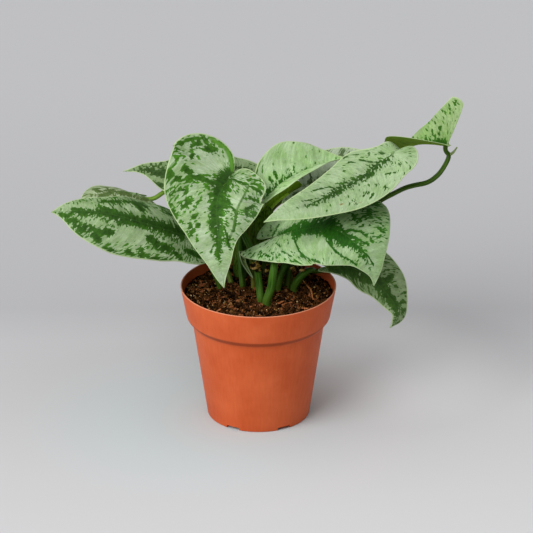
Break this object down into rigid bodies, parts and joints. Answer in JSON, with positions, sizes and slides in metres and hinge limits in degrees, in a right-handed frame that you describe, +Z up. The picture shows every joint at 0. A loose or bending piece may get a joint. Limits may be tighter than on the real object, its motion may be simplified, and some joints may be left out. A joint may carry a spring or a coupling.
{
  "type": "potted satin pothos",
  "caption": "Satin pothos houseplant with heart-shaped silver-blotched leaves on arching stalks, growing in potting mix in a round terracotta-coloured plastic nursery pot.",
  "frame": {"origin": "centre of the pot's foot, on the plane it stands on", "axes": "+Z up, +X to the right and -Y to the front as seen from the plant's front, where the large upright heart-shaped leaf faces"},
  "size_m": [0.314, 0.1406, 0.251],
  "materials": {
    "pot": "matte",
    "soil": "matte",
    "blade_front_heart": "satin",
    "blade_left_large": "satin",
    "blade_left_behind": "satin",
    "blade_back_left": "satin",
    "blade_top_centre": "satin",
    "blade_right_upper": "satin",
    "blade_back_right": "satin",
    "blade_right_lower": "satin",
    "blade_right_hanging": "satin",
    "blade_top_right": "satin",
    "blade_small_scale": "satin",
    "stalk_front_right": "satin",
    "stalk_front_left": "satin",
    "stalk_right_hanging": "satin",
    "stalk_top_right": "satin",
    "stalk_right_upper": "satin",
    "stalk_back_right": "satin",
    "stalk_top_centre": "satin",
    "stalk_left_large": "satin",
    "stalk_left_behind": "satin",
    "stalk_back_left": "satin"
  },
  "bodies": {
    "root": {"pot": "pot", "soil": "soil", "blade_front_heart": "blade_front_heart", "blade_left_large": "blade_left_large", "blade_left_behind": "blade_left_behind", "blade_back_left": "blade_back_left", "blade_top_centre": "blade_top_centre", "blade_right_upper": "blade_right_upper", "blade_back_right": "blade_back_right", "blade_right_lower": "blade_right_lower", "blade_right_hanging": "blade_right_hanging", "blade_top_right": "blade_top_right", "blade_small_scale": "blade_small_scale", "stalk_front_right": "stalk_front_right", "stalk_front_left": "stalk_front_left", "stalk_right_hanging": "stalk_right_hanging", "stalk_top_right": "stalk_top_right", "stalk_right_upper": "stalk_right_upper", "stalk_back_right": "stalk_back_right", "stalk_top_centre": "stalk_top_centre", "stalk_left_large": "stalk_left_large", "stalk_left_behind": "stalk_left_behind", "stalk_back_left": "stalk_back_left"}
  },
  "joints": []
}
